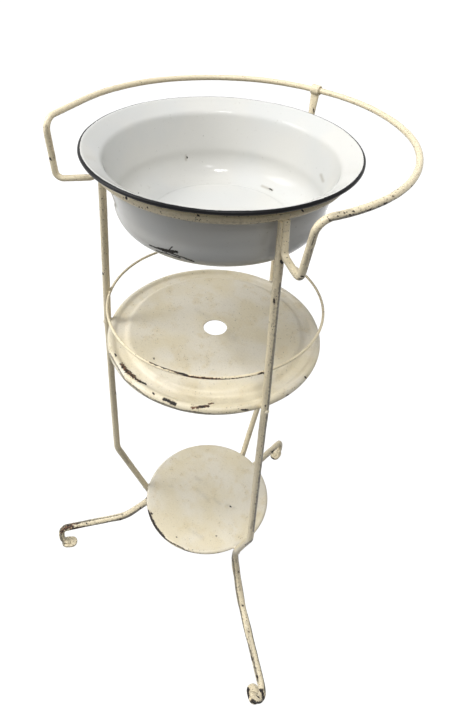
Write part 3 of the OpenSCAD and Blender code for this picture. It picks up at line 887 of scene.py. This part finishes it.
def leg_swell(points, from_top, from_tip, seed):
    """How much thicker than its rod a leg is at each point: weld, lumps and paint."""
    below_waist = clamp((WAIST[1] - points[:, 2]) / LIMB_SWELL_START)
    before_foot = clamp((from_tip - LIMB_SWELL_END[0]) / LIMB_SWELL_END[1])
    limb = below_waist * before_foot
    weld = WELD_SWELL * np.exp(-from_top / WELD_SWELL_REACH)
    lumps = LUMP_SWELL * noise(points, LUMP_SIZE, LUMP_SEED + seed) * limb
    waist = WAIST_SWELL * np.exp(-((points[:, 2] - WAIST[1]) / WAIST_SWELL_REACH) ** 2)
    return weld + lumps + waist + LIMB_SWELL * limb


def build_leg(name, leg):
    seed = len(name)
    points = wander(leg_path(leg), 0.3, seed)
    from_top = np.arange(len(points)) * ROD_STEP
    from_tip = from_top[::-1]
    flat = clamp(1 - from_tip / FLAT_LENGTH)
    wide = clamp(1 - from_tip / WIDE_LENGTH) ** 0.7
    swollen = ROD_D + leg_swell(points, from_top, from_tip, seed)
    width = swollen + (TIP_WIDTH - ROD_D) * wide
    thickness = swollen + (TIP_THICKNESS - ROD_D) * flat
    across = spin((0, 1, 0), leg[0] + leg[1])
    rings = tube(points, width, ROD_SIDES, across, thickness=thickness)
    add_piece(name + "_rod", rings, False, name, underside_shade_and_low_wear)
    build_pad(name, leg)


def build_pad(name, leg):
    """The flattened end under the foot: a rounded slab with softened edges."""
    half, radius = (PAD_LENGTH - PAD_WIDTH) / 2, PAD_WIDTH / 2
    steps = [(share, PAD_THICKNESS - fall) for share, fall in PAD_DOME]
    for t in np.radians([70, 45, 20, 0]):
        height = PAD_THICKNESS - PAD_EDGE_R + PAD_EDGE_R * math.sin(t) - PAD_DOME[-1][1]
        steps.append((1 - PAD_EDGE_R / radius * (1 - math.cos(t)), height))
    for t in np.radians([0, 20, 45, 70, 90]):
        steps.append((1 - PAD_EDGE_R / radius * (1 - math.cos(t)), PAD_EDGE_R - PAD_EDGE_R * math.sin(t)))
    steps += [(0.5, 0.0), (PAD_DOME[0][0], 0.0)]
    a = full_turn(PAD_SIDES)
    outline = np.stack([half * np.tanh(6 * np.cos(a)) + radius * np.cos(a), radius * np.sin(a)], axis=1)
    middle = FOOT_REACH - PAD_LENGTH / 2
    rings = [
        [leg_point(leg, (middle + x * share, leg[2] + y * share, height)) for x, y in outline]
        for share, height in steps
    ]
    add_piece(name + "_pad", np.array(rings), False, name, 0.6, fine=0.0, coarse=0.0, replaces=False)


# ---- ring, hoop and what joins them to the posts


def build_ring():
    rings = tube(circle_path(RING_R, RING_Z), ROD_D, ROD_SIDES, UP, closed=True)
    add_piece("support_ring_rod", rings, True, "support_ring", underside_shade_and_low_wear)


def build_lump(name, node, out, radius, height, sizes, wear_and_shade):
    """A rounded lump against a post, in the direction out from the stand's axis."""
    side = np.cross(UP, out)
    width, tall, deep = sizes
    blob = dome(out * radius + (0, 0, height), (side * width, (0, 0, tall), out * deep))
    add_piece(name, blob, False, node, wear_and_shade, replaces=False)


def build_hoop():
    post_inside = np.linalg.norm(post_point(LEGS["back_leg"], HOOP_Z)[:2]) - ROD_D / 2
    hoop_r = post_inside - HOOP_D / 2 + SEAT
    points = wander(circle_path(hoop_r, HOOP_Z), 0.5, 5)
    rings = tube(points, HOOP_D, WIRE_SIDES, UP, closed=True)
    add_piece("gallery_hoop_wire", rings, True, "gallery_hoop", 0.35, fine=0.08, coarse=0.05)
    for name, leg in LEGS.items():
        out = outward(post_point(leg, HOOP_Z))
        build_lump(name + "_hoop_braze", "gallery_hoop", out, hoop_r + BRAZE_OUT, HOOP_Z, BRAZE_LUMP, 0.3)


def build_joint_paint():
    """Paint that has gathered where the tray and the shelf meet the legs."""
    tray_r, tray_z = TRAY_R + TRAY_LUMP_OUT, TRAY_Z + TRAY_LUMP_RISE
    shelf_r = SHELF_R + SHELF_LUMP_OUT
    for name, leg in LEGS.items():
        out = outward(post_point(leg, TRAY_Z))
        build_lump(name + "_tray_joint", "tray", out, tray_r, tray_z, TRAY_LUMP, 0.5)
        out = outward(slant_point(leg, SHELF_Z))
        build_lump(name + "_shelf_joint", "lower_shelf", out, shelf_r, SHELF_Z, SHELF_LUMP, 0.5)


# ---- towel rail and its back stay


def limb_point(leg, z, out):
    p = post_point(leg, z)
    return p + outward(p) * out


def hairpin(leg, low, top):
    """Corners of a rod that runs down along a post, turns out to low and rises to top."""
    start = limb_point(leg, HAIRPIN_TOP_Z, LIMB_OUT - LIMB_INSET)
    return [start, limb_point(leg, HAIRPIN_BEND_Z, LIMB_OUT), low, top]


def rail_path():
    centre = np.array([RAIL_SHIFT[0], RAIL_SHIFT[1], RAIL_Z])

    def on_arc(degrees):
        return centre + RAIL_R * spin((1, 0, 0), degrees)

    def end(name, forward):
        leg = LEGS[name]
        degrees, run, reach = RAIL_ENDS[name]
        start = on_arc(degrees)
        low = spin((POST_R + reach, 0, HAIRPIN_Z), leg[0])
        top = start + spin((0, forward, 0), degrees) * run
        return bent_path(hairpin(leg, low, top) + [start], RAIL_BENDS, ROD_STEP)

    right = end("front_right_leg", -1)
    left = end("front_left_leg", 1)
    a, b = (values[0] for values in RAIL_ENDS.values())
    arc = np.array([on_arc(t) for t in np.linspace(a, b, RAIL_ARC_POINTS)])
    return respaced(np.concatenate([right, arc[1:-1], left[::-1]]), ROD_STEP)


def rail_wear_and_underside_shade(points, normals):
    """More wear where hands and towels rub, at the right front of the rail, and painted shade on undersides.
    """
    handled = np.exp(-((points[:, 1] - HANDLED_Y) / HANDLED_REACH) ** 2)
    return 0.25 + 0.2 * handled * (points[:, 0] > 0) + 0.15 * clamp(-normals[:, 2])


def build_rail():
    rings = tube(wander(rail_path(), 0.5, 3), RAIL_D, RAIL_SIDES, (1, 0, 0))
    add_piece("towel_rail_rod", rings, False, "towel_rail", rail_wear_and_underside_shade)
    for name in RAIL_ENDS:
        build_weld(name + "_rail_weld", LEGS[name], "towel_rail")


def build_weld(name, leg, node):
    """Filled grooves on both sides, where a rod lies welded along the post."""
    low, high = HAIRPIN_Z + RAIL_D, RING_Z - ROD_D / 2
    for side in (-1, 1):
        points = []
        for z in np.arange(low, high, ROD_STEP):
            share = (z - low) / (high - low)
            gap = LIMB_OUT - LIMB_INSET * share
            reach = (gap ** 2 + (ROD_D / 2) ** 2 - (RAIL_D / 2) ** 2) / (2 * gap)
            beside = math.sqrt((ROD_D / 2) ** 2 - reach ** 2) + WELD_OUT
            p = post_point(leg, z)
            out = outward(p)
            points.append(p + out * reach + np.cross(UP, out) * side * beside)
        width = WELD_D + WELD_WAVE * np.sin(np.arange(len(points)) * 1.3)
        rings = tube(np.array(points), width, WELD_SIDES, outward(points[0]))
        add_piece(f"{name}_{'left' if side < 0 else 'right'}", rings, False, node, 0.3, replaces=False)


def build_stay():
    rail_back_y = RAIL_SHIFT[1] + math.sqrt(RAIL_R ** 2 - RAIL_SHIFT[0] ** 2)
    eye_r = RAIL_D / 2 + EYE_GAP
    tip = np.array([0, rail_back_y - eye_r / 2, RAIL_Z - eye_r - EYE_THICKNESS / 2])
    low = np.array([0, tip[1] - STAY_OFFSET, HAIRPIN_Z])
    leg = LEGS["back_leg"]
    points = bent_path(hairpin(leg, low, tip), STAY_BENDS, ROD_STEP)
    from_tip = np.arange(len(points))[::-1] * ROD_STEP
    flat = clamp(1 - from_tip / STAY_FLAT_LENGTH)
    width = RAIL_D + (EYE_WIDTH - RAIL_D) * flat
    thickness = RAIL_D + (EYE_THICKNESS - RAIL_D) * flat
    rings = tube(points, width, RAIL_SIDES, (1, 0, 0), thickness=thickness)
    add_piece("rail_back_stay_rod", rings, False, "rail_back_stay", 0.3)
    build_weld("back_leg_stay_weld", leg, "rail_back_stay")
    build_eye(rail_back_y, eye_r)


def build_eye(rail_back_y, eye_r):
    """The flattened end wrapped round the rail, with rounded edges."""
    half, outer = EYE_WIDTH / 2, eye_r + EYE_THICKNESS
    edge_r = EYE_THICKNESS / 2 - EYE_FLAT
    outline = np.concatenate([
        arc_points((half - edge_r, eye_r + edge_r), edge_r, -90, 90, 0.5),
        arc_points((-half + edge_r, outer - edge_r), edge_r, 90, 270, 0.5),
    ])
    outline = respaced(np.concatenate([outline, outline[:1]]), 0.7)[:-1]
    rings = []
    for a in full_turn(EYE_SEGMENTS):
        rings.append([(x, rail_back_y + r * math.cos(a), RAIL_Z + r * math.sin(a)) for x, r in outline])
    rings = np.array(rings)
    add_piece("rail_back_stay_eye", rings, True, "rail_back_stay", 0.4, fine=0.08, coarse=0.1, replaces=False)


# ---- tray and shelf


def rolled_sheet(line, bead, bead_r, curl, thickness):
    """Closed outline of a sheet that follows a line and then curls round a bead."""
    roll = arc_points(bead, bead_r - thickness / 2, *curl, 0.8)
    middle = respaced(np.concatenate([line, roll]), OUTLINE_STEP)
    return both_sides(eased(middle, 3), thickness)


def build_tray():
    bead = (TRAY_R - TRAY_BEAD_D / 2, TRAY_Z)
    plateau_r, plateau_z = bead[0] - MARGIN_GAP, TRAY_MARGIN_Z + PLATEAU_RISE
    corners = [
        (HOLE_R, 0, plateau_z),
        (plateau_r, 0, plateau_z),
        (plateau_r + PLATEAU_RISE, 0, TRAY_MARGIN_Z),
        (bead[0] - MARGIN_END_GAP, 0, TRAY_MARGIN_Z),
    ]
    line = bent_path(corners, TRAY_BENDS, OUTLINE_STEP)[:, [0, 2]]
    outline = rolled_sheet(line, bead, TRAY_BEAD_D / 2, TRAY_CURL, TRAY_SHEET)
    add_piece("tray_pan", lathe(outline), True, "tray", sheet_wear_and_underside_shade, fine=0.05, coarse=0.22)


def build_shelf():
    bead = (SHELF_R - SHELF_BEAD_D / 2, SHELF_Z)
    top_z = SHELF_Z + SHELF_BEAD_D / 2 - SHELF_SHEET / 2
    line = respaced([(AXIS_HOLE_R, top_z), (bead[0] - 1, top_z)], OUTLINE_STEP)
    outline = rolled_sheet(line, bead, SHELF_BEAD_D / 2, SHELF_CURL, SHELF_SHEET)
    add_piece("shelf_pan", lathe(outline), True, "lower_shelf", sheet_wear_and_underside_shade, fine=0.05, coarse=0.2)


def sheet_wear_and_underside_shade(points, normals):
    """Light wear on top, more on the outer edge, and painted shade underneath."""
    radius = np.linalg.norm(points[:, :2], axis=1)
    edge = clamp((radius - radius.max() + 8) / 8)
    return 0.12 + 0.25 * edge + 0.3 * clamp(-normals[:, 2])


# ---- basin


def flare_point(r):
    flare = math.radians(FLARE_ANGLE)
    offset = ROD_D / 2 + BASIN_GAP + BASIN_SHEET / 2
    touch = (RING_R - offset * math.sin(flare), RING_Z + offset * math.cos(flare))
    return r, 0, touch[1] + (r - touch[0]) * math.tan(flare)


def rim_amount(outline, bead):
    """1 on the black of the rolled rim, falling to 0 at its inner edge."""
    angle = np.degrees(np.arctan2(outline[:, 1] - bead[1], outline[:, 0] - bead[0]))
    near = np.hypot(outline[:, 0] - bead[0], outline[:, 1] - bead[1]) < BASIN_BEAD_D
    return np.where(near, clamp((RIM_START - angle) / RIM_FADE + 0.5), 0)


def build_basin():
    flare = math.radians(FLARE_ANGLE)
    bead_r = BASIN_R - BASIN_BEAD_D / 2
    roll = (BASIN_BEAD_D - BASIN_SHEET) / 2
    end = flare_point(bead_r - roll * math.sin(flare))
    bead = (bead_r, end[2] - roll * math.cos(flare))
    base_z = basin_low[2] + BASIN_SHEET / 2
    corners = [
        (AXIS_HOLE_R, 0, base_z + PANEL_RISE),
        (PANEL_R, 0, base_z + PANEL_RISE),
        (PANEL_R + 2 * PANEL_RISE, 0, base_z),
        (BASE_R, 0, base_z),
        (WALL_R, 0, base_z + BASE_CORNER_R + WALL_HEIGHT),
        flare_point(NECK_R),
        end,
    ]
    line = bent_path(corners, BASIN_BENDS, OUTLINE_STEP)[:, [0, 2]]
    outline = rolled_sheet(line, bead, BASIN_BEAD_D / 2, BASIN_CURL, BASIN_SHEET)
    rings = lathe(outline)
    obj = add_piece("basin_bowl", rings, True, "basin", 0, fine=0.0, coarse=0.25, body=BASIN)
    set_attribute(obj, "rim", np.tile(rim_amount(outline, bead), len(rings)))


# ---- stage, lights and camera

FLOOR_HALF = 8.0
FLOOR_GREY = (0.14, 0.14, 0.14)
FLOOR_LIFT = 0.96  # raises the floor to white where the camera or a reflection sees it
SKY = 0.68  # strength of the soft light from straight above; it falls to none at the horizon
SKY_COLOUR = (0.97, 0.985, 1.0)
WHITE = (1, 1, 1)
LAMP_TARGET = (0, 0, 0.6)
# Place in metres, size in metres and power in watts of each lamp
LAMPS = {
    "key_high": ((-1.35, -1.0, 2.5), (0.9, 0.9), 30),
    "key_low": ((-1.9, -1.3, 2.0), (0.9, 0.9), 13),
    "left": ((-2.0, -1.4, 0.95), (0.7, 0.7), 9),
    "front": ((-0.8, -2.2, 1.5), (0.9, 0.9), 3.5),
    "over": ((0.45, -0.6, 2.9), (0.35, 0.35), 22),
    "right": ((1.2, -0.9, 2.4), (0.3, 0.3), 6),
}


def seen_rays(tree):
    """1 for rays from the camera, also after a mirror or through glass."""
    path = tree.nodes.new("ShaderNodeLightPath")
    seen = math_node(tree, "MAXIMUM", path.outputs["Is Camera Ray"], path.outputs["Is Glossy Ray"])
    return math_node(tree, "MAXIMUM", seen, path.outputs["Is Transmission Ray"])


def build_stage():
    half = FLOOR_HALF
    mesh = bpy.data.meshes.new("floor")
    corners = [(-half, -half, 0), (half, -half, 0), (half, half, 0), (-half, half, 0)]
    mesh.from_pydata(corners, [], [(0, 1, 2, 3)])
    obj = new_object("floor", mesh)
    g = Graph("pale_floor")
    g.put("Base Color", (*FLOOR_GREY, 1))
    g.put("Roughness", 0.9)
    g.put("Emission Color", (*WHITE, 1))
    g.put("Emission Strength", g.times(seen_rays(g.tree), FLOOR_LIFT))
    mesh.materials.append(g.material)


def add_area(name, place, size, power):
    light = bpy.data.lights.new(name, "AREA")
    light.shape = "RECTANGLE"
    light.size, light.size_y = size
    light.energy = power
    obj = new_object(name, light)
    obj.location = place
    obj.rotation_euler = (Vector(LAMP_TARGET) - Vector(place)).to_track_quat("-Z", "Y").to_euler()


def build_light():
    """A soft sky that lights the object, a plain white that is only seen, and the lamps."""
    world = bpy.data.worlds.new("studio")
    bpy.context.scene.world = world
    world.use_nodes = True
    tree = world.node_tree
    direction = tree.nodes.new("ShaderNodeTexCoord")
    split = tree.nodes.new("ShaderNodeSeparateXYZ")
    tree.links.new(direction.outputs["Generated"], split.inputs[0])
    above = math_node(tree, "MAXIMUM", split.outputs[2], 0.0)
    soft = tree.nodes["Background"]
    soft.inputs["Color"].default_value = (*SKY_COLOUR, 1)
    tree.links.new(math_node(tree, "MULTIPLY", above, SKY), soft.inputs["Strength"])
    white = tree.nodes.new("ShaderNodeBackground")
    white.inputs["Color"].default_value = (*WHITE, 1)
    mix = tree.nodes.new("ShaderNodeMixShader")
    for value, socket in zip((seen_rays(tree), soft.outputs[0], white.outputs[0]), mix.inputs):
        tree.links.new(value, socket)
    tree.links.new(mix.outputs[0], tree.nodes["World Output"].inputs["Surface"])
    for name, (place, size, power) in LAMPS.items():
        add_area(name, place, size, power)


def build_camera():
    camera = bpy.data.cameras.new("camera")
    camera.sensor_width = 36
    camera.lens = FOCAL_PX * camera.sensor_width / IMAGE[1]
    camera.shift_x = (IMAGE[0] / 2 - PRINCIPAL_PX[0]) / IMAGE[1]
    camera.shift_y = (PRINCIPAL_PX[1] - IMAGE[1] / 2) / IMAGE[1]
    camera.clip_start = 0.05
    obj = new_object("camera", camera)
    place = (Vector(CAMERA_PLACE) + Vector((0, AXIS_Y, 0))) * MM
    obj.matrix_world = Matrix.Translation(place) @ camera_turn()
    bpy.context.scene.camera = obj


build_camera()
build_stage()
build_light()
for leg_name, leg_values in LEGS.items():
    build_leg(leg_name, leg_values)
build_ring()
build_hoop()
build_joint_paint()
build_rail()
build_stay()
build_tray()
build_shelf()
build_basin()
for node in ("tray_rivets", "shelf_rivets"):
    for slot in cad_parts[node].material_slots:
        slot.material = paint

bpy.context.scene.view_settings.view_transform = "Standard"
